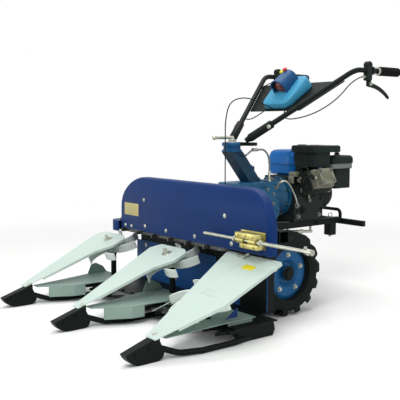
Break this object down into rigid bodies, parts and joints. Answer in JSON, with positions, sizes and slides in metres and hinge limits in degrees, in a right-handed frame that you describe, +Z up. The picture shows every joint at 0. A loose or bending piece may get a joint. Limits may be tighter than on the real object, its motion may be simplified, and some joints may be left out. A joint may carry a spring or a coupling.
{
  "type": "power weeder with reaper header",
  "caption": "Walk-behind power weeder with a front reaper header: sloping crop dividers, star wheels and a knife bar, a petrol engine, lugged wheels and a reversible handlebar.",
  "frame": {"origin": "On the ground under the middle of the machine's box.", "axes": "+Z up; -Y is the front, where the dividers point; +X is the machine's left; the ground wheels turn about X."},
  "size_m": [1.433, 1.657, 1.09],
  "materials": {
    "cover_blue": "gloss paint",
    "wall_blue": "gloss paint",
    "tank_blue": "gloss paint",
    "console_blue": "moulded gloss",
    "rim_blue": "gloss paint",
    "case_blue": "paint over casting",
    "column_blue": "gloss paint",
    "divider_white": "satin paint",
    "star_white": "moulded satin",
    "black_steel": "satin paint",
    "black_plastic": "moulded grain",
    "muffler_black": "heat-resistant matt paint",
    "grip_rubber": "moulded",
    "tyre_rubber": "moulded",
    "zinc": "bright zinc plate",
    "yellow_zinc": "yellow zinc plate",
    "steel": "ground steel",
    "engine_alloy": "painted casting",
    "head_alloy": "bare casting",
    "lamp_lens": "clear moulded"
  },
  "bodies": {
    "chassis": {"air_cleaner": "black_plastic", "chain": "steel", "clutch_housing": "case_blue", "column_cables": "black_plastic", "crankcase": "engine_alloy", "cutter_bar": "steel", "cylinder_head": "head_alloy", "deck": "black_steel", "divider_cover_left": "divider_white", "divider_cover_middle": "divider_white", "divider_cover_right": "divider_white", "divider_tray_left": "divider_white", "divider_tray_middle": "divider_white", "divider_tray_right": "divider_white", "end_guard": "cover_blue", "engine_bed": "black_steel", "fan_shroud": "black_plastic", "fuel_cap": "black_plastic", "fuel_tank": "tank_blue", "gearbox": "case_blue", "gearbox_lid": "case_blue", "guide_rod": "zinc", "handle_column": "column_blue", "header_cover": "cover_blue", "header_frame": "black_steel", "link_rod": "zinc", "lower_wall": "wall_blue", "muffler": "muffler_black", "rear_bumper": "black_steel", "rod_clamp": "yellow_zinc", "runner_left": "black_steel", "runner_middle": "black_steel", "runner_right": "black_steel", "sprockets": "steel", "star_post_left": "black_steel", "star_post_middle": "black_steel", "star_post_right": "black_steel"},
    "wheel_left": {"tyre_left": "tyre_rubber", "rim_left": "rim_blue", "axle_left": "steel"},
    "wheel_right": {"tyre_right": "tyre_rubber", "rim_right": "rim_blue", "axle_right": "steel"},
    "star_wheel_right": {"star_right": "star_white"},
    "star_wheel_middle": {"star_middle": "star_white"},
    "star_wheel_left": {"star_left": "star_white"},
    "knife_slide": {"knife": "steel"},
    "handlebar": {"handle_head": "black_steel", "handle_tube_left": "black_steel", "handle_tube_right": "black_steel", "grips": "grip_rubber", "levers": "black_plastic", "console_tray": "black_steel", "console": "console_blue", "headlamp": "lamp_lens", "swivel_lever": "zinc", "handle_cables": "black_plastic"}
  },
  "joints": [
    {"name": "left_wheel_roll", "type": "hinge", "parent": "chassis", "child": "wheel_left", "pos_m": [0.2555, 0.0765, 0.18], "axis": [1, 0, 0], "continuous": true},
    {"name": "right_wheel_roll", "type": "hinge", "parent": "chassis", "child": "wheel_right", "pos_m": [-0.3565, 0.0765, 0.18], "axis": [1, 0, 0], "continuous": true},
    {"name": "right_star_turn", "type": "hinge", "parent": "chassis", "child": "star_wheel_right", "pos_m": [-0.5715, -0.27251, 0.21567], "axis": [0, -0.3682, 0.9298], "continuous": true},
    {"name": "middle_star_turn", "type": "hinge", "parent": "chassis", "child": "star_wheel_middle", "pos_m": [-0.0855, -0.27251, 0.21567], "axis": [0, -0.3682, 0.9298], "continuous": true},
    {"name": "left_star_turn", "type": "hinge", "parent": "chassis", "child": "star_wheel_left", "pos_m": [0.3375, -0.41751, 0.15825], "axis": [0, -0.3682, 0.9298], "continuous": true},
    {"name": "knife_stroke", "type": "slide", "parent": "chassis", "child": "knife_slide", "axis": [1, 0, 0], "range_m": [-0.038, 0.038]},
    {"name": "handlebar_swing", "type": "hinge", "parent": "chassis", "child": "handlebar", "pos_m": [-0.0505, 0.0485, 0.707], "axis": [0, 0, 1], "range_deg": [-180, 180]}
  ]
}
